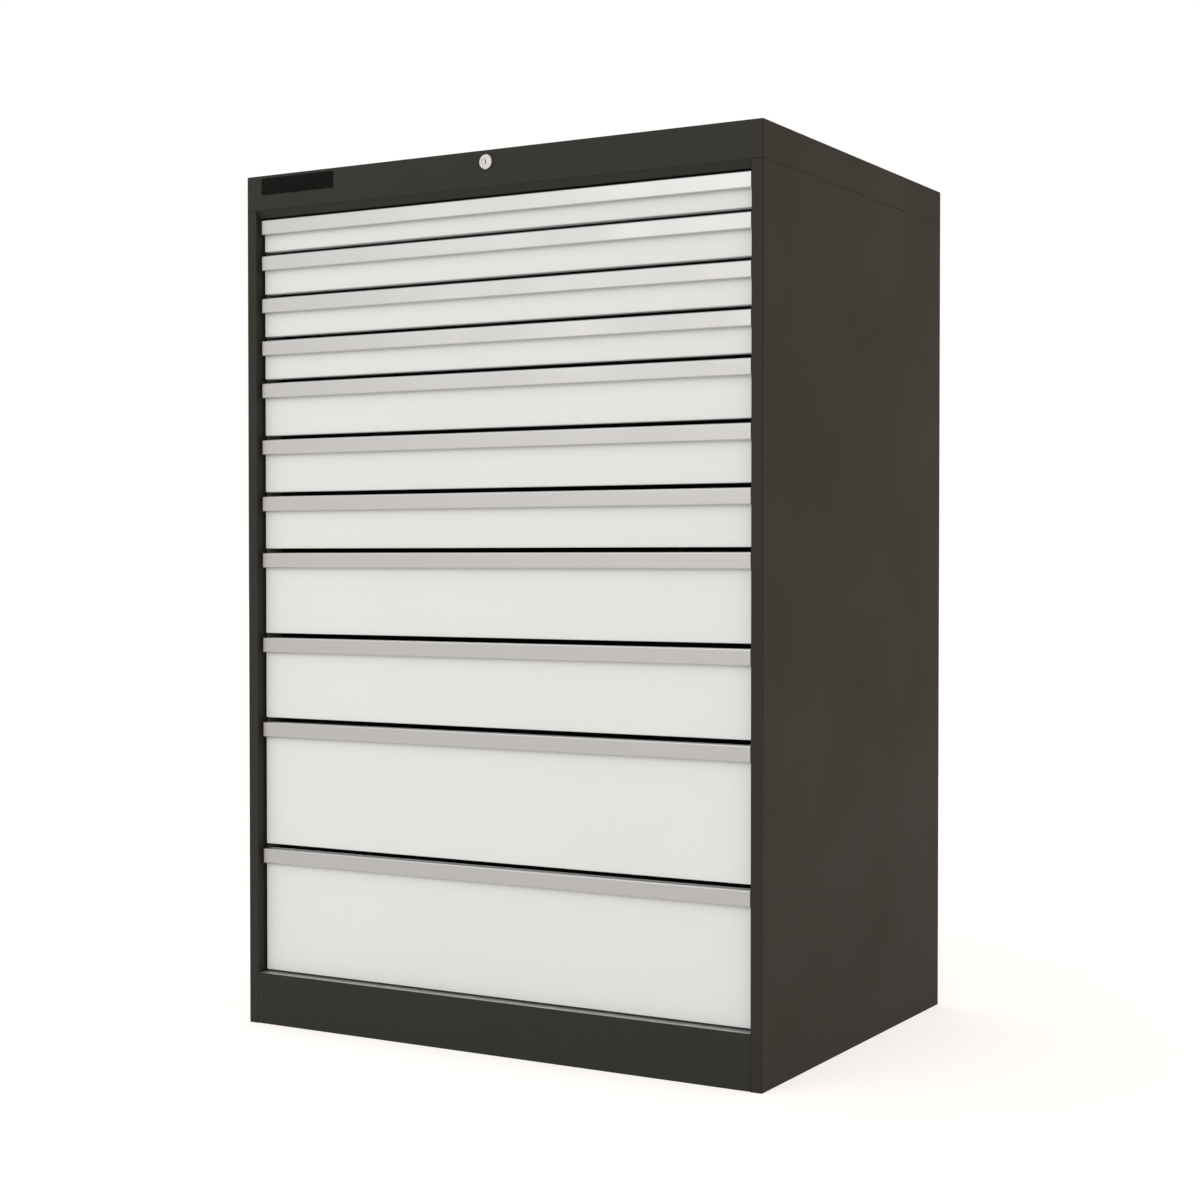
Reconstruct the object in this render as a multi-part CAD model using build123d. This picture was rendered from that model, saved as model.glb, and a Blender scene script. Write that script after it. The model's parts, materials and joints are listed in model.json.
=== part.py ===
from build123d import *

import math
import os

# A high drawer cabinet of folded sheet steel, in millimetres.
# The origin is on the floor under the middle of the housing.
# +Z is up, +X is to the right of somebody who faces the drawers, and the drawers open towards -Y.

# Housing, outside
cabinet_width = 1010.0
cabinet_depth = 755.0
plinth_height = 90.0
cap_height = 60.0

# Drawer modules, and how many of each height, from the top down
shallow_module = 75.0
low_module = 100.0
middle_module = 150.0
deep_module = 225.0
drawer_heights = [shallow_module] * 4 + [low_module] * 3 + [middle_module] * 2 + [deep_module] * 2

# Sheets
housing_sheet = 1.5
back_sheet = 1.2
floor_sheet = 1.5
upright_sheet = 1.5
front_sheet = 1.2
tray_sheet = 1.0
rail_sheet = 1.5

# Housing folds
stile_width = 20.5
stile_return = 28.0
corner_radius = 2.5
stile_bend_radius = 2.0
rear_bend_radius = 2.5
back_side_clearance = 0.5
cap_edge_chamfer = 1.0
rear_flange = 25.0
plinth_flange = 25.0
floor_flange = 20.0
fold_radius = 2.5
tight_bend = 1.2
seam_gap = 0.6
joggle_below = 14.0
joggle_above = 32.0
joggle_end_gap = 40.0

# Sloping lip under the cap, over the top drawer
lip_drop = 13.0
lip_setback = 11.0
lip_return = 22.0
lip_lap = 18.0

# Slotted uprights that carry the runners
upright_depth = 42.0
upright_clearance = 0.5
rail_slot_width = 5.0
rail_slot_height = 12.0

# Drawer fronts and grip rails, set back from the front of the housing
grip_recess = 9.5
panel_recess = 18.5
grip_height = 26.6
grip_top_gap = 4.0
grip_lip_gap = 3.0
grip_sheet = 1.6
grip_leg = 12.0
grip_hook = 3.0
grip_nose_radius = 2.6
grip_hook_radius = 2.2
front_side_gap = 5.0
panel_bottom_gap = 3.8
panel_top_gap = 1.0
panel_return = 17.0
panel_bend_radius = 1.6
panel_back_clearance = 0.5

# Drawer trays
tray_floor_lift = 8.0
tray_top_drop = 6.0
tray_end_drop = 9.0
tray_rear_space = 88.0
tray_hem = 6.0
divider_pitch = 160.0
divider_slot_width = 4.0
divider_slot_floor_gap = 10.0
divider_slot_rim_gap = 8.0
divider_slot_end_gap = 60.0

# Runners: a fixed rail, a rail on the tray and a roller carriage between them.
# The overlap is what the two rails still share when a drawer is drawn right out.
runner_travel = 640.0
runner_overlap = 36.0
rail_height = 30.0
rail_lift = 12.0
cabinet_rail_width = 8.5
tray_rail_width = 9.5
rail_tip_gap = 3.5
cabinet_rail_rear_gap = 8.0
tray_rail_front_gap = 3.0
rail_hook_reach = 2.6
rail_hook_clearance = 0.6

carriage_bar_thickness = 2.2
carriage_bar_height = 24.0
carriage_bar_overhang = 16.0
carriage_side_clearance = 0.4
roller_clearance = 0.4
roller_side_clearance = 0.5
roller_inset = 28.0
roller_facets = 8

# Central lock: key plug, long shaft with a crank, and a lifting bar behind the trays
lock_drop = 20.0
lock_rim_radius = 12.5
lock_rim_proud = 3.5
lock_rim_chamfer = 1.0
lock_barrel_radius = 9.5
lock_barrel_length = 24.0
lock_hole_clearance = 0.2
lock_clip_width = 32.0
lock_clip_height = 30.0
lock_clip_thickness = 2.0
lock_clip_clearance = 0.1
plug_radius = 7.0
plug_clearance = 0.08
plug_face_recess = 0.6
key_slot_width = 1.6
key_slot_height = 8.0
key_slot_depth = 6.0

shaft_radius = 4.0
shaft_clearance = 0.08
crank_radius = 10.0
crank_half_turn = 45.0
crank_thickness = 4.0
crank_pin_radius = 3.0
crank_boss_margin = 3.0
crank_gap = 1.0

bar_thickness = 3.0
bar_half_width = 12.0
bar_rear_of_tray = 40.0
bar_floor_gap = 2.0
bar_head_taper = 28.0
bar_head_margin = 5.5
yoke_clearance = 0.6
yoke_end_clearance = 1.0

catch_lift = 30.0
catch_height = 7.0
catch_thickness = 3.0
catch_side_gap = 2.0
catch_bar_gap = 1.5
tooth_height = 11.0
tooth_gap = 1.5

guide_count = 3
guide_height = 12.0
guide_wall = 8.0
guide_front_wall = 3.6
guide_clearance = 0.4
guide_drop = 1.0
hanger_half_width = 12.0
hanger_thickness = 8.0
hanger_bar_gap = 24.0
hanger_rim = 6.0

# How far a cutting body stands out of the piece that it cuts
cut_margin = 1.0

# Places worked out from the sizes
half_width = cabinet_width / 2
front_y = -cabinet_depth / 2
back_y = cabinet_depth / 2
zone_top = plinth_height + sum(drawer_heights)
cabinet_height = zone_top + cap_height
side_top = zone_top - seam_gap
opening_half = half_width - stile_width
inner_half = half_width - housing_sheet
back_inner_y = back_y - housing_sheet - back_sheet
cap_underside = cabinet_height - housing_sheet
upright_top = side_top - joggle_below - upright_clearance

grip_y = front_y + grip_recess
panel_y = front_y + panel_recess
tray_front_y = panel_y + front_sheet
tray_wall_y = panel_y + panel_return
tray_rear_y = back_inner_y - tray_rear_space

rail_space = cabinet_rail_width + rail_tip_gap + tray_rail_width
tray_half = opening_half - rail_space
tray_inner_half = tray_half - tray_sheet
cabinet_rail_front_y = panel_y + panel_return + panel_back_clearance
cabinet_rail_rear_y = back_inner_y - cabinet_rail_rear_gap
tray_rail_front_y = tray_front_y + tray_rail_front_gap
tray_rail_rear_y = cabinet_rail_front_y + runner_travel + runner_overlap

front_upright_y = front_y + stile_return + upright_clearance
rear_upright_y = back_inner_y - upright_depth
upright_middles_y = [front_upright_y + upright_depth / 2, rear_upright_y + upright_depth / 2]

lock_z = cabinet_height - lock_drop
bar_y = tray_rear_y + bar_rear_of_tray
crank_angle = math.radians(crank_half_turn)
crank_drop = crank_radius * math.sin(crank_angle)
bar_lift = 2 * crank_drop
pin_rest_x = -crank_radius * math.cos(crank_angle)
pin_rest_z = lock_z - crank_drop

drawer_count = len(drawer_heights)
module_bottoms = [zone_top - sum(drawer_heights[: index + 1]) for index in range(drawer_count)]
module_tops = [bottom + height for bottom, height in zip(module_bottoms, drawer_heights)]
rail_middles = [bottom + rail_lift + rail_height / 2 for bottom in module_bottoms]
tray_floors = [bottom + tray_floor_lift + tray_sheet for bottom in module_bottoms]


def grip_top(index):
    """Height of a drawer's upper edge; the top drawer stays under the sloping lip."""
    under_module = module_tops[index] - grip_top_gap
    under_lip = zone_top - lip_drop - grip_lip_gap
    return min(under_module, under_lip)


def offset_path(points, distance):
    """Shift an open path to its left by a distance, with mitred corners."""
    corners = [Vector(*point) for point in points]
    normals = []
    for start, end in zip(corners, corners[1:]):
        along = (end - start).normalized()
        normals.append(Vector(-along.Y, along.X))
    shifted = [corners[0] + normals[0] * distance]
    for corner, before, after in zip(corners[1:], normals, normals[1:]):
        shifted.append(corner + (before + after) * (distance / (1 + before.dot(after))))
    shifted.append(corners[-1] + normals[-1] * distance)
    return shifted


def sheet_section(points, radii, thickness):
    """Section of a folded sheet: the path is one skin and the sheet lies on its left.

    A radius of 0 is a sharp fold, and the far skin of a tight bend is sharp too.
    """
    corners = [Vector(*point) for point in points]
    far_radii = []
    for before, corner, after, radius in zip(corners, corners[1:], corners[2:], radii):
        turns_left = (corner - before).cross(after - corner).Z > 0
        grown = radius - thickness if turns_left else radius + thickness
        far_radii.append(grown if radius > 0 and grown > tight_bend else 0.0)
    skin = FilletPolyline(corners, radius=radii)
    far_skin = FilletPolyline(offset_path(points, thickness), radius=far_radii)
    ends = [Line(skin @ 0, far_skin @ 0), Line(skin @ 1, far_skin @ 1)]
    return make_face([*skin.edges(), *far_skin.edges(), *ends])


def along_x(section, low, high):
    """Run a section drawn in (y, z) from one x to another."""
    return Pos(low, 0, 0) * extrude(Plane.YZ * section, amount=high - low, dir=(1, 0, 0))


def along_y(section, low, high):
    """Run a section drawn in (x, z) from one y to another."""
    return Pos(0, high, 0) * extrude(Plane.XZ * section, amount=high - low, dir=(0, -1, 0))


def along_z(section, low, high):
    """Run a section drawn in (x, y) from one height to another."""
    return Pos(0, 0, low) * extrude(section, amount=high - low, dir=(0, 0, 1))


def plate(x_span, y_span, z_span):
    """Flat rectangular piece between two corners."""
    sizes = [high - low for low, high in (x_span, y_span, z_span)]
    middles = [(low + high) / 2 for low, high in (x_span, y_span, z_span)]
    return Pos(*middles) * Box(*sizes)


def round_bar(radius, x, z, low, high):
    """Round piece that runs along Y at one x and z."""
    return along_y(Pos(x, z) * Circle(radius), low, high)


def other_side(solid):
    """The same piece on the left of the cabinet."""
    return mirror(solid, about=Plane.YZ)


def side_panel():
    """Right side: one sheet with the front stile, the rear flange and a foot flange."""
    section = sheet_section(
        [
            (opening_half, front_y + stile_return),
            (opening_half, front_y),
            (half_width, front_y),
            (half_width, back_y),
            (half_width - rear_flange, back_y),
        ],
        [stile_bend_radius, corner_radius, rear_bend_radius],
        housing_sheet,
    )
    joggle = plate(
        (inner_half - housing_sheet, inner_half),
        (front_y + joggle_end_gap, back_y - joggle_end_gap),
        (side_top - joggle_below, side_top + joggle_above),
    )
    foot = plate(
        (opening_half, inner_half),
        (front_y + stile_return, back_inner_y),
        (0, housing_sheet),
    )
    return along_z(section, 0, side_top) + joggle + foot


def back_panel():
    """Flat sheet that lies inside the rear flanges of the sides."""
    half = half_width - rear_bend_radius - back_side_clearance
    return plate((-half, half), (back_inner_y, back_inner_y + back_sheet), (0, side_top))


def top_cap():
    """Deep lid with a skirt all round, rounded like the sides, with the hole for the lock."""
    lid = plate((-half_width, half_width), (front_y, back_y), (zone_top, cabinet_height))
    uprights = lid.edges().filter_by(Axis.Z).sort_by(Axis.Y)
    lid = fillet(uprights[:2], corner_radius)
    rear_edges = lid.edges().filter_by(Axis.Z).sort_by(Axis.Y)[-2:]
    lid = fillet(rear_edges, rear_bend_radius)
    lid = chamfer(lid.faces().sort_by(Axis.Z)[-1].edges(), cap_edge_chamfer)
    lid = offset(lid, amount=-housing_sheet, openings=lid.faces().sort_by(Axis.Z)[0])
    hole_radius = lock_barrel_radius + lock_hole_clearance
    hole_rear = front_y + housing_sheet + cut_margin
    return lid - round_bar(hole_radius, 0, lock_z, front_y - cut_margin, hole_rear)


def top_front_rail():
    """Cross rail under the cap, with the sloping lip over the top drawer."""
    skirt_back = front_y + housing_sheet
    lip_z = zone_top - lip_drop
    rear = front_y + lip_setback + lip_return
    section = sheet_section(
        [
            (skirt_back, zone_top + lip_lap),
            (skirt_back, zone_top),
            (front_y + lip_setback, lip_z),
            (rear, lip_z),
            (rear, zone_top),
        ],
        [0, fold_radius, fold_radius],
        housing_sheet,
    )
    return along_x(section, -opening_half, opening_half)


def base_plinth():
    """Front of the base, up to the top of the floor and folded back along the ground."""
    section = sheet_section(
        [(front_y, plinth_height), (front_y, 0), (front_y + plinth_flange, 0)],
        [stile_bend_radius],
        housing_sheet,
    )
    return along_x(section, -opening_half, opening_half)


def floor_pan():
    """Floor of the drawer space, folded down along the sides, with a ledge behind the plinth."""
    section = sheet_section(
        [
            (inner_half, plinth_height - floor_flange),
            (inner_half, plinth_height),
            (-inner_half, plinth_height),
            (-inner_half, plinth_height - floor_flange),
        ],
        [fold_radius, fold_radius],
        floor_sheet,
    )
    pan = along_y(section, front_y + stile_return, back_inner_y)
    ledge = plate(
        (-opening_half, opening_half),
        (front_y + housing_sheet, front_y + stile_return + floor_flange),
        (plinth_height - floor_sheet, plinth_height),
    )
    return pan + ledge


def upright(low_y):
    """Slotted channel on the right; its flanges stand against the side."""
    high_y = low_y + upright_depth
    section = sheet_section(
        [
            (inner_half, high_y),
            (opening_half, high_y),
            (opening_half, low_y),
            (inner_half, low_y),
        ],
        [0, 0],
        upright_sheet,
    )
    channel = along_z(section, plinth_height, upright_top)
    middle_y = (low_y + high_y) / 2
    x_span = (opening_half - cut_margin, opening_half + upright_sheet + cut_margin)
    y_span = (middle_y - rail_slot_width / 2, middle_y + rail_slot_width / 2)
    half_slot = rail_slot_height / 2
    for middle_z in rail_middles:
        channel -= plate(x_span, y_span, (middle_z - half_slot, middle_z + half_slot))
    return channel


def cabinet_rail(index):
    """Fixed C rail on the right, hooked into the slots of both uprights."""
    bottom = module_bottoms[index] + rail_lift
    top = bottom + rail_height
    tip = opening_half - cabinet_rail_width
    section = sheet_section(
        [(tip, bottom), (opening_half, bottom), (opening_half, top), (tip, top)],
        [0, 0],
        rail_sheet,
    )
    rail = along_y(section, cabinet_rail_front_y, cabinet_rail_rear_y)
    half_hook_y = rail_slot_width / 2 - rail_hook_clearance
    half_hook_z = rail_slot_height / 2 - rail_hook_clearance
    for middle_y in upright_middles_y:
        rail += plate(
            (opening_half, opening_half + rail_hook_reach),
            (middle_y - half_hook_y, middle_y + half_hook_y),
            (rail_middles[index] - half_hook_z, rail_middles[index] + half_hook_z),
        )
    return rail


def tray_rail(index):
    """C rail on the right of a tray; it opens towards the fixed rail."""
    bottom = module_bottoms[index] + rail_lift
    top = bottom + rail_height
    tip = tray_half + tray_rail_width
    section = sheet_section(
        [(tip, top), (tray_half, top), (tray_half, bottom), (tip, bottom)],
        [0, 0],
        rail_sheet,
    )
    return along_y(section, tray_rail_front_y, tray_rail_rear_y)


def carriage(index):
    """Right carriage: a flat bar in the fixed rail with three rollers that run in both rails."""
    middle_z = rail_middles[index]
    bar_outer = opening_half - rail_sheet - carriage_side_clearance
    bar_inner = bar_outer - carriage_bar_thickness
    front_roller_y = cabinet_rail_front_y + roller_inset
    rear_roller_y = tray_rail_rear_y - roller_inset
    bar = plate(
        (bar_inner, bar_outer),
        (front_roller_y - carriage_bar_overhang, rear_roller_y + carriage_bar_overhang),
        (middle_z - carriage_bar_height / 2, middle_z + carriage_bar_height / 2),
    )
    radius = rail_height / 2 - rail_sheet - roller_clearance
    roller_inner = tray_half + rail_sheet + roller_side_clearance
    middle_y = (front_roller_y + rear_roller_y) / 2
    rollers = [
        along_x(Pos(y, middle_z) * RegularPolygon(radius, roller_facets), roller_inner, bar_inner)
        for y in (front_roller_y, middle_y, rear_roller_y)
    ]
    return [bar, *rollers]


def drawer_tray(index):
    """Open sheet tray: side walls with a hem and slots for dividers, a floor and two end walls."""
    floor_z = tray_floors[index]
    rim_z = grip_top(index) - tray_top_drop
    section = sheet_section(
        [
            (tray_inner_half + tray_hem, rim_z),
            (tray_inner_half, rim_z),
            (tray_inner_half, floor_z - tray_sheet),
        ],
        [0],
        tray_sheet,
    )
    wall = along_y(section, tray_front_y, tray_rear_y)
    slot_room = tray_rear_y - tray_front_y - 2 * divider_slot_end_gap
    slot_count = int(slot_room / divider_pitch) + 1
    first_y = (tray_front_y + tray_rear_y - (slot_count - 1) * divider_pitch) / 2
    x_span = (tray_inner_half - cut_margin, tray_half + cut_margin)
    z_span = (floor_z + divider_slot_floor_gap, rim_z - divider_slot_rim_gap)
    half_slot = divider_slot_width / 2
    for step in range(slot_count):
        middle_y = first_y + step * divider_pitch
        wall -= plate(x_span, (middle_y - half_slot, middle_y + half_slot), z_span)
    between = (-tray_inner_half, tray_inner_half)
    floor = plate(between, (tray_front_y, tray_rear_y), (floor_z - tray_sheet, floor_z))
    end_walls = [
        plate(between, (low_y, low_y + tray_sheet), (floor_z, rim_z - tray_end_drop))
        for low_y in (tray_wall_y, tray_rear_y - tray_sheet)
    ]
    return [*both_sides([wall]), floor, *end_walls]


def lock_catch(index):
    """Arm behind a tray that passes the lifting bar, and the tab that the bar's tooth stops."""
    bottom = module_bottoms[index] + catch_lift
    arm_inner = bar_half_width + catch_side_gap
    tab_front = bar_y + bar_thickness + catch_bar_gap
    arm = plate(
        (arm_inner, arm_inner + catch_thickness),
        (tray_rear_y, tab_front + catch_thickness),
        (bottom, bottom + catch_height),
    )
    tab = plate(
        (catch_side_gap, arm_inner),
        (tab_front, tab_front + catch_thickness),
        (bottom, bottom + catch_height),
    )
    return [arm, tab]


def drawer_front(index):
    """Front panel: a shallow pan of sheet, folded back along all four edges."""
    bottom = module_bottoms[index] + panel_bottom_gap
    top = grip_top(index) - panel_top_gap
    half = opening_half - front_side_gap
    section = sheet_section(
        [
            (panel_y + panel_return, top),
            (panel_y, top),
            (panel_y, bottom),
            (panel_y + panel_return, bottom),
        ],
        [0, panel_bend_radius],
        front_sheet,
    )
    panel = along_x(section, -half, half)
    for low_x in (-half, half - front_sheet):
        panel += plate(
            (low_x, low_x + front_sheet),
            (panel_y + front_sheet / 2, panel_y + panel_return),
            (bottom + front_sheet / 2, top - front_sheet / 2),
        )
    return panel


def drawer_grip(index):
    """Extruded grip rail: a leg on the panel, a top, a rounded nose and a hooked edge."""
    top = grip_top(index)
    bottom = top - grip_height
    half = opening_half - front_side_gap
    section = sheet_section(
        [
            (panel_y, top - grip_leg),
            (panel_y, top),
            (grip_y, top),
            (grip_y, bottom),
            (grip_y + grip_hook, bottom),
        ],
        [0, grip_nose_radius, grip_hook_radius],
        grip_sheet,
    )
    return along_x(section, -half, half)


def lock_body():
    """Lock barrel with its rim in the cap, and the fork clip that holds it behind the sheet."""
    rim = round_bar(lock_rim_radius, 0, lock_z, front_y - lock_rim_proud, front_y)
    rim = chamfer(rim.edges().sort_by(Axis.Y)[0], lock_rim_chamfer)
    barrel = round_bar(lock_barrel_radius, 0, lock_z, front_y, front_y + lock_barrel_length)
    bore_radius = plug_radius + plug_clearance
    bore_front = front_y - lock_rim_proud - cut_margin
    bore = round_bar(bore_radius, 0, lock_z, bore_front, front_y + lock_barrel_length + cut_margin)
    clip_front = front_y + housing_sheet
    clip_half = lock_clip_width / 2
    clip_top = lock_z + lock_clip_height / 2
    clip_foot = lock_z - lock_clip_height / 2
    fork_half = lock_barrel_radius + lock_clip_clearance
    fork_top = lock_z + fork_half
    clip_section = make_face(
        Polyline(
            (-clip_half, clip_foot),
            (-clip_half, clip_top),
            (clip_half, clip_top),
            (clip_half, clip_foot),
            (fork_half, clip_foot),
            (fork_half, fork_top),
            (-fork_half, fork_top),
            (-fork_half, clip_foot),
            close=True,
        )
    )
    clip = along_y(clip_section, clip_front, clip_front + lock_clip_thickness)
    return [rim + barrel - bore, clip]


def lock_plug():
    """Plug that the key turns, with its slot in the face."""
    face_y = front_y - lock_rim_proud + plug_face_recess
    plug = round_bar(plug_radius, 0, lock_z, face_y, front_y + lock_barrel_length)
    slot = plate(
        (-key_slot_width / 2, key_slot_width / 2),
        (face_y - cut_margin, face_y + key_slot_depth),
        (lock_z - key_slot_height / 2, lock_z + key_slot_height / 2),
    )
    return plug - slot


def lock_shaft():
    """Long shaft from the plug to the rear, with the crank and the pin that lifts the bar."""
    crank_rear_y = bar_y - crank_gap
    crank_front_y = crank_rear_y - crank_thickness
    shaft = round_bar(shaft_radius, 0, lock_z, front_y + lock_barrel_length, crank_front_y)
    boss_radius = crank_pin_radius + crank_boss_margin
    arm_section = make_hull(
        [
            *(Pos(0, lock_z) * Circle(shaft_radius + crank_boss_margin)).edges(),
            *(Pos(pin_rest_x, pin_rest_z) * Circle(boss_radius)).edges(),
        ]
    )
    arm = along_y(arm_section, crank_front_y, crank_rear_y)
    pin_end_y = bar_y + bar_thickness + crank_gap
    pin = round_bar(crank_pin_radius, pin_rest_x, pin_rest_z, crank_rear_y, pin_end_y)
    return shaft + arm + pin


def lock_bar():
    """Lifting bar with the crank's slot in its head, and one tooth for each drawer."""
    slot_half = crank_pin_radius + yoke_clearance
    head_left = -crank_radius - slot_half - bar_head_margin
    head_top = pin_rest_z + slot_half + bar_head_margin
    head_bottom = pin_rest_z - slot_half - bar_head_margin
    bar_bottom = plinth_height + bar_floor_gap
    outline = Polyline(
        (-bar_half_width, bar_bottom),
        (0, bar_bottom),
        (0, head_top),
        (head_left, head_top),
        (head_left, head_bottom),
        (-bar_half_width, head_bottom - bar_head_taper),
        close=True,
    )
    slot_right = pin_rest_x + slot_half + yoke_end_clearance
    slot_left = -crank_radius - slot_half - yoke_end_clearance
    slot_middle = (slot_left + slot_right) / 2
    slot = Pos(slot_middle, pin_rest_z) * SlotOverall(slot_right - slot_left, 2 * slot_half)
    bar = along_y(make_face(outline) - slot, bar_y, bar_y + bar_thickness)
    y_span = (bar_y, bar_y + bar_thickness)
    teeth = []
    for bottom in module_bottoms:
        tooth_top = bottom + catch_lift - tooth_gap
        teeth.append(plate((0, bar_half_width), y_span, (tooth_top - tooth_height, tooth_top)))
    return [bar, *teeth]


def lock_guides():
    """Blocks on the back that keep the bar upright, and the hanger for the shaft."""
    pieces = []
    front = bar_y - guide_clearance - guide_front_wall
    for number in range(guide_count):
        carried = int((number + 0.5) * drawer_count / guide_count)
        middle_z = module_bottoms[carried] - guide_drop
        z_span = (middle_z - guide_height / 2, middle_z + guide_height / 2)
        block = plate(
            (-bar_half_width - guide_clearance - guide_wall, guide_clearance + guide_wall),
            (front, back_inner_y),
            z_span,
        )
        passage = plate(
            (-bar_half_width - guide_clearance, guide_clearance),
            (bar_y - guide_clearance, bar_y + bar_thickness + guide_clearance),
            (z_span[0] - cut_margin, z_span[1] + cut_margin),
        )
        pieces.append(block - passage)
    hanger_rear = bar_y - hanger_bar_gap
    hanger = plate(
        (-hanger_half_width, hanger_half_width),
        (hanger_rear - hanger_thickness, hanger_rear),
        (lock_z - shaft_radius - hanger_rim, cap_underside),
    )
    hole_front = hanger_rear - hanger_thickness - cut_margin
    hole = round_bar(shaft_radius + shaft_clearance, 0, lock_z, hole_front, hanger_rear + cut_margin)
    pieces.append(hanger - hole)
    return pieces


def save(name, pieces):
    """Write one node: a piece, or a group of separate pieces."""
    group = pieces if isinstance(pieces, list) else [pieces]
    solids = [solid for piece in group for solid in piece.solids()]
    export_step(Compound(children=solids), f"parts/{name}.step")


def both_sides(pieces):
    """The given pieces and the same ones on the left."""
    return [*pieces, *(other_side(piece) for piece in pieces)]


os.makedirs("parts", exist_ok=True)

right_side = side_panel()
save("right_side_panel", right_side)
save("left_side_panel", other_side(right_side))
save("back_panel", back_panel())
save("top_cap", top_cap())
save("top_front_rail", top_front_rail())
save("base_plinth", base_plinth())
save("floor_pan", floor_pan())
save("front_uprights", both_sides([upright(front_upright_y)]))
save("rear_uprights", both_sides([upright(rear_upright_y)]))

fixed_rails = [cabinet_rail(index) for index in range(drawer_count)]
save("right_cabinet_rails", fixed_rails)
save("left_cabinet_rails", [other_side(rail) for rail in fixed_rails])

save("lock_body", lock_body())
save("lock_plug", lock_plug())
save("lock_shaft", lock_shaft())
save("lock_bar", lock_bar())
save("lock_guides", lock_guides())

for index in range(drawer_count):
    label = f"drawer_{index + 1:02d}"
    save(f"{label}_tray", [*drawer_tray(index), *both_sides([tray_rail(index)]), *lock_catch(index)])
    save(f"{label}_front", drawer_front(index))
    save(f"{label}_grip", drawer_grip(index))
    save(f"{label}_carriage", both_sides(carriage(index)))
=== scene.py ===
import json
import math

import bmesh
import bpy
import numpy as np
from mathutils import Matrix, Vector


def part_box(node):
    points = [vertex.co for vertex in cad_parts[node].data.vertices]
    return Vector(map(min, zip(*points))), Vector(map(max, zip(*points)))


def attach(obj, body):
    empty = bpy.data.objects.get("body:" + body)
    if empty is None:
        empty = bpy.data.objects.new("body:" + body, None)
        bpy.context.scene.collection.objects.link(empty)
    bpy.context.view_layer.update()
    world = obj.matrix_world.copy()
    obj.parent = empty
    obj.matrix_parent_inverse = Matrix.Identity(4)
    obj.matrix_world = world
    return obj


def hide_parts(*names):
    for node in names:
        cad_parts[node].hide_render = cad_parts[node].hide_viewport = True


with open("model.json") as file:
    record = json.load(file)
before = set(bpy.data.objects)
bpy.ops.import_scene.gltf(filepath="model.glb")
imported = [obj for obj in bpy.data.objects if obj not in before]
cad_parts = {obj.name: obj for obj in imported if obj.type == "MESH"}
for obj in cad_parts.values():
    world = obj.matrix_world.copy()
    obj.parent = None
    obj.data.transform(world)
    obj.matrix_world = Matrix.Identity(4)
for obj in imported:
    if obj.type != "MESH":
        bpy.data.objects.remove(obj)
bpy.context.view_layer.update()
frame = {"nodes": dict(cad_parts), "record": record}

nodes = frame["nodes"]
MM = 0.001

# Name plate on the cap, in metres as all sizes here are
PLATE_WIDTH = 157 * MM
PLATE_HEIGHT = 29 * MM
PLATE_THICKNESS = 0.8 * MM
PLATE_CORNER = 2 * MM
PLATE_EDGE = PLATE_THICKNESS * 0.45
PLATE_CENTRE_X = -393.5 * MM
PLATE_CENTRE_Z = 1480.5 * MM

# Screws at the foot of the sides, with their distances behind the front of the housing
SCREW_RADIUS = 3.6 * MM
SCREW_RISE = 0.45 * MM
SCREW_HEIGHT = 91 * MM
SCREW_DEPTHS = [121 * MM, 284 * MM, 447 * MM, 610 * MM]

# Carriages of the runners: flat bars, and rollers on axles that stand a little proud of them
DRAWER_COUNT = 11
BAR_HEIGHT = 24 * MM
BAR_THICKNESS = 2.2 * MM
BAR_CORNER = 4 * MM
BAR_EDGE = 0.3 * MM
BAR_OVERHANG = 16 * MM
ROLLER_RADIUS = 13.1 * MM
ROLLER_CHAMFER = 1.2 * MM
ROLLER_INNER_X = 465 * MM
AXLE_RADIUS = 3.2 * MM
AXLE_TIP_RADIUS = AXLE_RADIUS * 0.8
AXLE_RISE = 0.5 * MM
AXLE_DEPTH = 1 * MM

# Radii of the rings of the studio floor
FLOOR_RADII = [0, 3.0, 12.0, 40.0]

# Camera of the photograph, with its lens for a sensor 36 mm wide
CAMERA_PLACE = (1.8955, -3.2856, 0.8251)
CAMERA_AZIMUTH = math.radians(30)
CAMERA_DOWN = math.radians(1.12)
CAMERA_LENS = 62.79
CAMERA_SENSOR = 36
CAMERA_REACH = 200

# Nearly all of a noise texture lies between these values
NOISE_LOW, NOISE_HIGH = 0.3, 0.7

# Edges sharper than this angle stay crisp, and points closer than this distance are one point
CREASE_ANGLE = math.radians(35)
SAME_POINT = 1e-7


def linear(code):
    """Linear colour with alpha from an sRGB hex code."""
    parts = [int(code[start:start + 2], 16) / 255 for start in (0, 2, 4)]
    return (*[c / 12.92 if c <= 0.04045 else ((c + 0.055) / 1.055) ** 2.4 for c in parts], 1.0)


def add(tree, kind, sockets=None, **settings):
    """Add one node with its settings; each socket takes a value or the output of another node."""
    made = tree.nodes.new("ShaderNode" + kind)
    for name, value in settings.items():
        setattr(made, name, value)
    for name, value in (sockets or {}).items():
        if isinstance(value, bpy.types.NodeSocket):
            tree.links.new(value, made.inputs[name])
        else:
            made.inputs[name].default_value = value
    return made


def start(name):
    """A new material with its shader, and the object's own coordinates for the patterns."""
    material = bpy.data.materials.new(name)
    material.use_nodes = True
    tree = material.node_tree
    shader = tree.nodes["Principled BSDF"]
    place = add(tree, "TexCoord").outputs["Object"]
    return material, tree, shader, place


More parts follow.
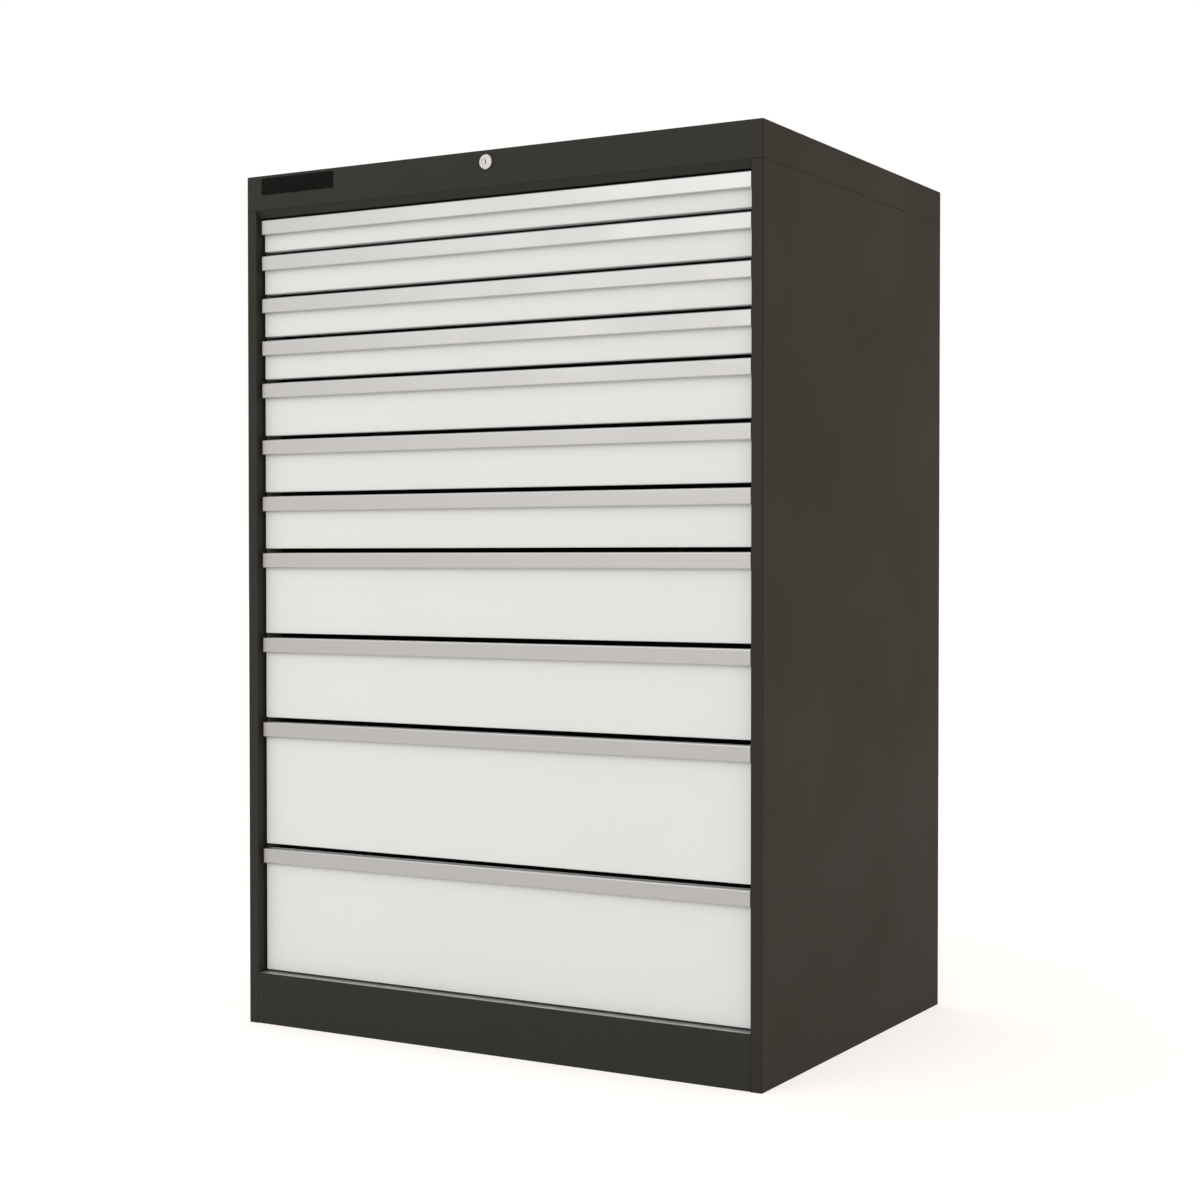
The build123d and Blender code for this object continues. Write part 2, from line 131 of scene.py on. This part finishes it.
def powder_coat(name, colour, grain_mm, grain_depth_mm, speck, peel_depth_mm, roughness, specular):
    """Polyester powder melted on sheet steel in an oven.

    The melt leaves a slight orange peel about 7 mm from crest to crest, with a fine grain on it, and
    the gloss and the tone drift a little over a panel where the coat is thicker.
    """
    peel_width, drift_width = 7 * MM, 230 * MM
    drift_tone = 0.015
    smoother, rougher = roughness - 0.04, roughness + 0.05
    material, tree, shader, place = start(name)
    grain = add(tree, "TexNoise", {"Vector": place, "Scale": 1 / (grain_mm * MM), "Detail": 2.0})
    peel = add(tree, "TexNoise", {"Vector": place, "Scale": 1 / peel_width, "Detail": 1.0})
    drift = add(tree, "TexNoise", {"Vector": place, "Scale": 1 / drift_width, "Detail": 3.0})
    peel_bump = add(
        tree, "Bump",
        {"Height": peel.outputs["Fac"], "Distance": peel_depth_mm * MM},
    )
    grain_bump = add(
        tree, "Bump",
        {
            "Height": grain.outputs["Fac"],
            "Distance": grain_depth_mm * MM,
            "Normal": peel_bump.outputs["Normal"],
        },
    )
    base = linear(colour)
    darker = tuple(c * (1 - drift_tone) for c in base[:3]) + (1.0,)
    lighter = tuple(min(c * (1 + drift_tone), 1.0) for c in base[:3]) + (1.0,)
    tone = add(tree, "Mix", {0: drift.outputs["Fac"], 6: darker, 7: lighter}, data_type="RGBA")
    shade = add(
        tree, "MapRange",
        {0: grain.outputs["Fac"], 1: NOISE_LOW, 2: NOISE_HIGH, 3: 1 - speck, 4: 1 + speck},
    )
    speckled = add(
        tree, "Mix",
        {0: 1.0, 6: tone.outputs[2], 7: shade.outputs[0]},
        data_type="RGBA", blend_type="MULTIPLY",
    )
    gloss = add(
        tree, "MapRange",
        {0: drift.outputs["Fac"], 1: NOISE_LOW, 2: NOISE_HIGH, 3: smoother, 4: rougher},
    )
    tree.links.new(speckled.outputs[2], shader.inputs["Base Color"])
    tree.links.new(gloss.outputs[0], shader.inputs["Roughness"])
    tree.links.new(grain_bump.outputs["Normal"], shader.inputs["Normal"])
    shader.inputs["Specular IOR Level"].default_value = specular
    return material


def anodised_extrusion():
    """Aluminium pressed through a die, etched matt and anodised clear.

    The die leaves fine straight lines along the rail. They are 0.3 mm apart on the real one and are
    drawn 1.6 mm apart, so that they show.
    """
    line_width, line_length, line_depth = 1.6 * MM, 1600 * MM, 0.02 * MM
    cloud_width = 150 * MM
    material, tree, shader, place = start("anodised_aluminium_extrusion")
    stretched = add(
        tree, "Mapping",
        {"Vector": place, "Scale": (1 / line_length, 1 / line_width, 1 / line_width)},
    )
    lines = add(tree, "TexNoise", {"Vector": stretched.outputs[0], "Scale": 1.0, "Detail": 3.0})
    cloud = add(tree, "TexNoise", {"Vector": place, "Scale": 1 / cloud_width, "Detail": 2.0})
    bump = add(tree, "Bump", {"Height": lines.outputs["Fac"], "Distance": line_depth})
    tone = add(
        tree, "Mix",
        {0: lines.outputs["Fac"], 6: linear("C3C3C3"), 7: linear("CDCDCD")},
        data_type="RGBA",
    )
    gloss = add(
        tree, "MapRange",
        {0: cloud.outputs["Fac"], 1: NOISE_LOW, 2: NOISE_HIGH, 3: 0.36, 4: 0.44},
    )
    tree.links.new(tone.outputs[2], shader.inputs["Base Color"])
    tree.links.new(gloss.outputs[0], shader.inputs["Roughness"])
    tree.links.new(bump.outputs["Normal"], shader.inputs["Normal"])
    shader.inputs["Metallic"].default_value = 1.0
    return material


def zinc_coat():
    """Sheet steel dipped in zinc: crystals about 9 mm wide, each with its own tone and gloss.

    Handling leaves fine dents about 3 mm wide, so the sheet isn't quite even. The coat has weathered
    to a dull skin, which is why it is only partly metallic.
    """
    crystal_width = 9 * MM
    dent_width, dent_depth = 3 * MM, 0.02 * MM
    dull_share = 0.82
    material, tree, shader, place = start("zinc_coated_steel")
    crystals = add(tree, "TexVoronoi", {"Vector": place, "Scale": 1 / crystal_width})
    dents = add(tree, "TexNoise", {"Vector": place, "Scale": 1 / dent_width, "Detail": 4.0})
    shade = add(tree, "SeparateColor", {"Color": crystals.outputs["Color"]})
    bright = linear("C6C8C7")
    dull = tuple(c * dull_share for c in bright[:3]) + (1.0,)
    tone = add(tree, "Mix", {0: shade.outputs[0], 6: dull, 7: bright}, data_type="RGBA")
    gloss = add(tree, "MapRange", {0: shade.outputs[1], 1: 0.0, 2: 1.0, 3: 0.34, 4: 0.5})
    bump = add(tree, "Bump", {"Height": dents.outputs["Fac"], "Distance": dent_depth})
    tree.links.new(tone.outputs[2], shader.inputs["Base Color"])
    tree.links.new(gloss.outputs[0], shader.inputs["Roughness"])
    tree.links.new(bump.outputs["Normal"], shader.inputs["Normal"])
    shader.inputs["Metallic"].default_value = 0.6
    return material


def nickel_plate():
    """Turned brass plated with bright nickel: the lathe leaves rings round the lock's middle.

    They are about 0.2 mm apart on the real one and are drawn 1.57 mm apart, so that they show. A wave
    repeats every pi / 10 over its scale.
    """
    ring_width, ring_depth = 1.57 * MM, 0.015 * MM
    material, tree, shader, place = start("nickel_plated_brass")
    low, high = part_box("lock_body")
    middle = (low + high) / 2
    centred = add(tree, "Mapping", {"Vector": place, "Location": (-middle.x, 0.0, -middle.z)})
    rings = add(
        tree, "TexWave",
        {
            "Vector": centred.outputs[0],
            "Scale": math.pi / 10 / ring_width,
            "Distortion": 0.4,
            "Detail": 2.0,
        },
        wave_type="RINGS", rings_direction="Y",
    )
    bump = add(tree, "Bump", {"Height": rings.outputs["Fac"], "Distance": ring_depth})
    gloss = add(tree, "MapRange", {0: rings.outputs["Fac"], 1: 0.0, 2: 1.0, 3: 0.24, 4: 0.34})
    tone = add(
        tree, "Mix",
        {0: rings.outputs["Fac"], 6: linear("AAA8AA"), 7: linear("B9B7B9")},
        data_type="RGBA",
    )
    tree.links.new(tone.outputs[2], shader.inputs["Base Color"])
    tree.links.new(gloss.outputs[0], shader.inputs["Roughness"])
    tree.links.new(bump.outputs["Normal"], shader.inputs["Normal"])
    shader.inputs["Metallic"].default_value = 1.0
    return material


def moulded_nylon():
    """Black nylon from a spark-eroded mould: an even matt grain, 0.8 mm wide."""
    grain_width, grain_depth = 0.8 * MM, 0.03 * MM
    material, tree, shader, place = start("moulded_nylon")
    grain = add(tree, "TexNoise", {"Vector": place, "Scale": 1 / grain_width, "Detail": 2.0})
    tone = add(
        tree, "Mix",
        {0: grain.outputs["Fac"], 6: linear("1F1F22"), 7: linear("2C2C30")},
        data_type="RGBA",
    )
    bump = add(tree, "Bump", {"Height": grain.outputs["Fac"], "Distance": grain_depth})
    tree.links.new(tone.outputs[2], shader.inputs["Base Color"])
    tree.links.new(bump.outputs["Normal"], shader.inputs["Normal"])
    shader.inputs["Roughness"].default_value = 0.55
    return material


def black_foil():
    """Printed polyester foil on the cap: an even satin black with a faint emboss from its liner."""
    emboss_width, emboss_depth = 2.5 * MM, 0.02 * MM
    material, tree, shader, place = start("black_foil")
    emboss = add(tree, "TexNoise", {"Vector": place, "Scale": 1 / emboss_width, "Detail": 2.0})
    tone = add(
        tree, "Mix",
        {0: emboss.outputs["Fac"], 6: linear("060606"), 7: linear("0A0A0A")},
        data_type="RGBA",
    )
    bump = add(tree, "Bump", {"Height": emboss.outputs["Fac"], "Distance": emboss_depth})
    tree.links.new(tone.outputs[2], shader.inputs["Base Color"])
    tree.links.new(bump.outputs["Normal"], shader.inputs["Normal"])
    shader.inputs["Roughness"].default_value = 0.6
    shader.inputs["Specular IOR Level"].default_value = 0.1
    return material


def studio_floor():
    """White studio floor that glows, so that only a soft contact shadow shows.

    It glows more for the camera than for the cabinet, which it would else light too much from below.
    """
    mottle_width = 1250 * MM
    glow_on_cabinet, glow_in_camera = 0.33, 0.64
    material, tree, shader, place = start("studio_floor")
    mottle = add(tree, "TexNoise", {"Vector": place, "Scale": 1 / mottle_width, "Detail": 2.0})
    tone = add(
        tree, "Mix",
        {0: mottle.outputs["Fac"], 6: linear("C1BFB8"), 7: linear("C5C3BC")},
        data_type="RGBA",
    )
    tree.links.new(tone.outputs[2], shader.inputs["Base Color"])
    shader.inputs["Roughness"].default_value = 0.9
    shader.inputs["Specular IOR Level"].default_value = 0.0
    seen = add(tree, "LightPath").outputs["Is Camera Ray"]
    glow = add(tree, "MapRange", {0: seen, 1: 0.0, 2: 1.0, 3: glow_on_cabinet, 4: glow_in_camera})
    shader.inputs["Emission Color"].default_value = (1.0, 1.0, 1.0, 1.0)
    tree.links.new(glow.outputs[0], shader.inputs["Emission Strength"])
    return material


def join_surfaces(name, surfaces, materials):
    """One object from several surfaces, each with its points, its faces and its material's number."""
    points, faces, numbers = [], [], []
    offset = 0
    for vertices, quads, number in surfaces:
        points.append(vertices)
        faces.extend((quads + offset).tolist())
        numbers.extend([number] * len(quads))
        offset += len(vertices)
    mesh = bpy.data.meshes.new(name)
    mesh.from_pydata(np.concatenate(points).tolist(), [], faces)
    mesh.polygons.foreach_set("material_index", numbers)
    for material in materials:
        mesh.materials.append(material)
    shell = bmesh.new()
    shell.from_mesh(mesh)
    bmesh.ops.remove_doubles(shell, verts=shell.verts, dist=SAME_POINT)
    bmesh.ops.recalc_face_normals(shell, faces=shell.faces)
    shell.to_mesh(mesh)
    shell.free()
    mesh.polygons.foreach_set("use_smooth", [True] * len(mesh.polygons))
    mesh.set_sharp_from_angle(angle=CREASE_ANGLE)
    mesh.validate()
    mesh.update()
    piece = bpy.data.objects.new(name, mesh)
    bpy.context.scene.collection.objects.link(piece)
    return piece


def band_faces(rings, steps):
    """Quads between each closed ring of points and the next one."""
    ring, step = np.meshgrid(np.arange(rings - 1), np.arange(steps), indexing="ij")
    after = (step + 1) % steps
    near, far = ring * steps, (ring + 1) * steps
    quads = np.stack([near + step, near + after, far + after, far + step])
    return quads.reshape(4, -1).T


def turned(profile, centre, axis, steps):
    """Surface of revolution: point = centre + axis * height + radius * (cos t * u + sin t * v).

    The profile is (radius, height) from one end to the other, and t goes once round in equal steps.
    A radius of 0 closes an end in one point.
    """
    radii, heights = np.array(profile).T
    axis = np.array(axis, float)
    u = np.roll(axis, 1)
    v = np.cross(axis, u)
    angle = np.linspace(0, 2 * math.pi, steps, endpoint=False)
    circle = np.cos(angle)[:, None] * u + np.sin(angle)[:, None] * v
    points = np.array(centre) + heights[:, None, None] * axis + radii[:, None, None] * circle[None]
    return points.reshape(-1, 3), band_faces(len(radii), steps)


def rounded_outline(width, height, corner, steps):
    """Closed outline of a rectangle with rounded corners: corner middle + corner * (cos t, sin t)."""
    angle = np.linspace(0, 2 * math.pi, 4 * steps, endpoint=False) + math.pi / (4 * steps)
    across = np.sign(np.cos(angle)) * (width / 2 - corner) + corner * np.cos(angle)
    upward = np.sign(np.sin(angle)) * (height / 2 - corner) + corner * np.sin(angle)
    return np.stack([across, upward], axis=1)


def slab(width, height, thickness, corner, edge, centre, u, v):
    """Flat piece with rounded corners and a rounded edge.

    Rings of the outline are drawn in by edge * (1 - sin s), and they rise by edge * cos s over the
    straight part of the edge on both skins, with s from 0 to a quarter turn. A ring shrunk to the
    middle closes each skin.
    """
    u, v = np.array(u, float), np.array(v, float)
    outward = np.cross(u, v)
    quarter = np.linspace(0, math.pi / 2, 4)
    inset = edge * (1 - np.sin(quarter))
    rise = edge * np.cos(quarter)
    straight = thickness / 2 - edge
    insets = np.concatenate([inset, inset[::-1]])
    levels = np.concatenate([-straight - rise, straight + rise[::-1]])
    reach = np.array([width, height]) / 2
    shrink = (reach - insets[:, None]) / reach
    shrink = np.concatenate([[[0, 0]], shrink, [[0, 0]]])
    levels = np.concatenate([[levels[0]], levels, [levels[-1]]])
    outline = rounded_outline(width, height, corner, steps=6)
    rings = outline[None] * shrink[:, None]
    points = rings[..., :1] * u + rings[..., 1:] * v + levels[:, None, None] * outward
    return (points + np.array(centre)).reshape(-1, 3), band_faces(len(levels), len(outline))


def name_plate():
    """Blank foil plate on the left of the cap's front."""
    front_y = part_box("top_cap")[0].y
    centre = (PLATE_CENTRE_X, front_y - PLATE_THICKNESS / 2, PLATE_CENTRE_Z)
    surface = slab(
        PLATE_WIDTH, PLATE_HEIGHT, PLATE_THICKNESS, PLATE_CORNER, PLATE_EDGE,
        centre, u=(1, 0, 0), v=(0, 0, 1),
    )
    piece = join_surfaces("name_plate", [(*surface, 0)], [finishes["black_foil"]])
    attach(piece, "cabinet")


def side_screws():
    """Low domed screws that hold the base between the sides.

    A dome's radius is SCREW_RADIUS * cos s and its height is SCREW_RISE * sin s, with s from 0 to a
    quarter turn, and a short shank below it goes into the side.
    """
    arc = np.linspace(0, math.pi / 2, 6)
    dome = np.stack([SCREW_RADIUS * np.cos(arc), SCREW_RISE * np.sin(arc)], axis=1)
    head = [(0, -SCREW_RISE), (SCREW_RADIUS, -SCREW_RISE), *dome]
    low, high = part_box("right_side_panel")
    surfaces = []
    for side in (1, -1):
        for depth in SCREW_DEPTHS:
            centre = (side * high.x, low.y + depth, SCREW_HEIGHT)
            surfaces.append((*turned(head, centre, (side, 0, 0), steps=24), 0))
    piece = join_surfaces("side_screws", surfaces, [finishes["graphite_powder_coat"]])
    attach(piece, "cabinet")


def runner_carriage(number):
    """Carriage of one drawer: on each side a bar with rounded ends and three turned nylon rollers."""
    node = f"drawer_{number:02d}_carriage"
    low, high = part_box(node)
    middle_y, middle_z = (low.y + high.y) / 2, (low.z + high.z) / 2
    roller_width = high.x - BAR_THICKNESS - ROLLER_INNER_X
    roller = [
        (0, 0),
        (ROLLER_RADIUS - ROLLER_CHAMFER, 0),
        (ROLLER_RADIUS, ROLLER_CHAMFER),
        (ROLLER_RADIUS, roller_width - ROLLER_CHAMFER),
        (ROLLER_RADIUS - ROLLER_CHAMFER, roller_width),
        (0, roller_width),
    ]
    axle = [
        (0, -AXLE_RISE),
        (AXLE_TIP_RADIUS, -AXLE_RISE),
        (AXLE_RADIUS, 0),
        (AXLE_RADIUS, AXLE_DEPTH),
        (0, AXLE_DEPTH),
    ]
    surfaces = []
    for side in (1, -1):
        bar_centre = (side * (high.x - BAR_THICKNESS / 2), middle_y, middle_z)
        bar = slab(
            high.y - low.y, BAR_HEIGHT, BAR_THICKNESS, BAR_CORNER, BAR_EDGE,
            bar_centre, u=(0, 1, 0), v=(0, 0, 1),
        )
        surfaces.append((*bar, 0))
        for y in (low.y + BAR_OVERHANG, middle_y, high.y - BAR_OVERHANG):
            centre = (side * ROLLER_INNER_X, y, middle_z)
            surfaces.append((*turned(roller, centre, (side, 0, 0), steps=32), 1))
            surfaces.append((*turned(axle, centre, (side, 0, 0), steps=16), 0))
    piece = join_surfaces(
        f"drawer_{number:02d}_runner_carriage", surfaces,
        [finishes["zinc_coated_steel"], finishes["black_nylon"]],
    )
    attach(piece, f"carriage_{number:02d}")
    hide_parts(node)


finishes = {
    "graphite_powder_coat": powder_coat(
        "graphite_powder_coat", "2F2F29", grain_mm=1.8, grain_depth_mm=0.03, speck=0.05,
        peel_depth_mm=0.03, roughness=0.6, specular=0.22,
    ),
    "off_white_powder_coat": powder_coat(
        "off_white_powder_coat", "EEF3F3", grain_mm=2.4, grain_depth_mm=0.006, speck=0.006,
        peel_depth_mm=0.02, roughness=0.5, specular=0.3,
    ),
    "grey_powder_coat": powder_coat(
        "grey_powder_coat", "929495", grain_mm=2.0, grain_depth_mm=0.015, speck=0.015,
        peel_depth_mm=0.03, roughness=0.5, specular=0.3,
    ),
    "anodised_aluminium": anodised_extrusion(),
    "zinc_coated_steel": zinc_coat(),
    "nickel_plated_brass": nickel_plate(),
    "black_nylon": moulded_nylon(),
    "black_foil": black_foil(),
}

# Every piece of the frame takes the finish of its slot
for part in frame["record"]["subparts"]:
    nodes[part["node"]].data.materials[0] = finishes[part["material_slot"]]

name_plate()
side_screws()
for number in range(1, DRAWER_COUNT + 1):
    runner_carriage(number)


def floor():
    """Round studio floor: point = radius * (cos t, sin t, 0).

    Its rings run outwards, so its faces are reversed to point up.
    """
    rings = [(radius, 0) for radius in FLOOR_RADII]
    points, faces = turned(rings, (0, 0, 0), (0, 0, 1), steps=64)
    piece = join_surfaces("studio_floor", [(points, faces[:, ::-1], 0)], [studio_floor()])


def softbox(name, place, aim, size, power, colour):
    """Large soft lamp that faces a point."""
    lamp = bpy.data.lights.new(name, "AREA")
    lamp.color = linear(colour)[:3]
    lamp.shape = "RECTANGLE"
    lamp.size, lamp.size_y = size
    lamp.energy = power
    holder = bpy.data.objects.new(name, lamp)
    holder.location = place
    direction = np.array(aim) - np.array(place)
    yaw = math.atan2(direction[1], direction[0]) - math.pi / 2
    pitch = math.atan2(direction[2], math.hypot(direction[0], direction[1]))
    holder.rotation_euler = (math.pi / 2 + pitch, 0, yaw)
    bpy.context.scene.collection.objects.link(holder)


def studio():
    """White surround: the camera sees it plain white, and it lights the cabinet softly.

    It is brighter above than below, and warmer from below and from the cabinet's right.
    """
    low_light, high_light = 0.74, 1.1
    world = bpy.data.worlds.new("studio")
    bpy.context.scene.world = world
    world.use_nodes = True
    tree = world.node_tree
    back = tree.nodes["Background"]
    direction = add(tree, "SeparateXYZ", {0: add(tree, "TexCoord").outputs["Generated"]})
    level = add(
        tree, "MapRange",
        {0: direction.outputs["Z"], 1: -0.1, 2: 0.9, 3: low_light, 4: high_light},
    ).outputs[0]
    seen = add(tree, "LightPath").outputs["Is Camera Ray"]
    strength = add(tree, "Mix", {0: seen, 2: level, 3: 1.0}, data_type="FLOAT")
    sideways = add(tree, "MapRange", {0: direction.outputs["X"], 1: 0.0, 2: 0.6}).outputs[0]
    upward = add(tree, "MapRange", {0: direction.outputs["Z"], 1: -0.05, 2: 0.35}).outputs[0]
    warmth = add(
        tree, "Mix",
        {0: sideways, 6: linear("FDFEFC"), 7: linear("EBD2B8")},
        data_type="RGBA",
    ).outputs[2]
    coolness = add(
        tree, "Mix",
        {0: upward, 6: linear("FFF8E6"), 7: linear("FAF9FF")},
        data_type="RGBA",
    ).outputs[2]
    tinted = add(
        tree, "Mix",
        {0: 1.0, 6: warmth, 7: coolness},
        data_type="RGBA", blend_type="MULTIPLY",
    ).outputs[2]
    shown = add(
        tree, "Mix",
        {0: seen, 6: tinted, 7: linear("FFFFFF")},
        data_type="RGBA",
    ).outputs[2]
    tree.links.new(shown, back.inputs["Color"])
    tree.links.new(strength.outputs[0], back.inputs["Strength"])


def camera():
    """Camera of the photograph, solved from its straight edges."""
    data = bpy.data.cameras.new("camera")
    data.sensor_width = CAMERA_SENSOR
    data.lens = CAMERA_LENS
    data.clip_end = CAMERA_REACH
    holder = bpy.data.objects.new("camera", data)
    holder.location = CAMERA_PLACE
    holder.rotation_euler = (math.pi / 2 - CAMERA_DOWN, 0, CAMERA_AZIMUTH)
    bpy.context.scene.collection.objects.link(holder)
    bpy.context.scene.camera = holder


floor()
studio()
softbox("key", (-1.6, -4.4, 2.6), aim=(-0.2, 0, 0.9), size=(2.8, 2.4), power=25, colour="FFFFFF")
softbox("fill", (4.5, 0.8, 2.2), aim=(0, 0, 0.7), size=(2.5, 2.5), power=1.5, colour="FFF0E0")
camera()
bpy.context.scene.view_settings.view_transform = "Standard"
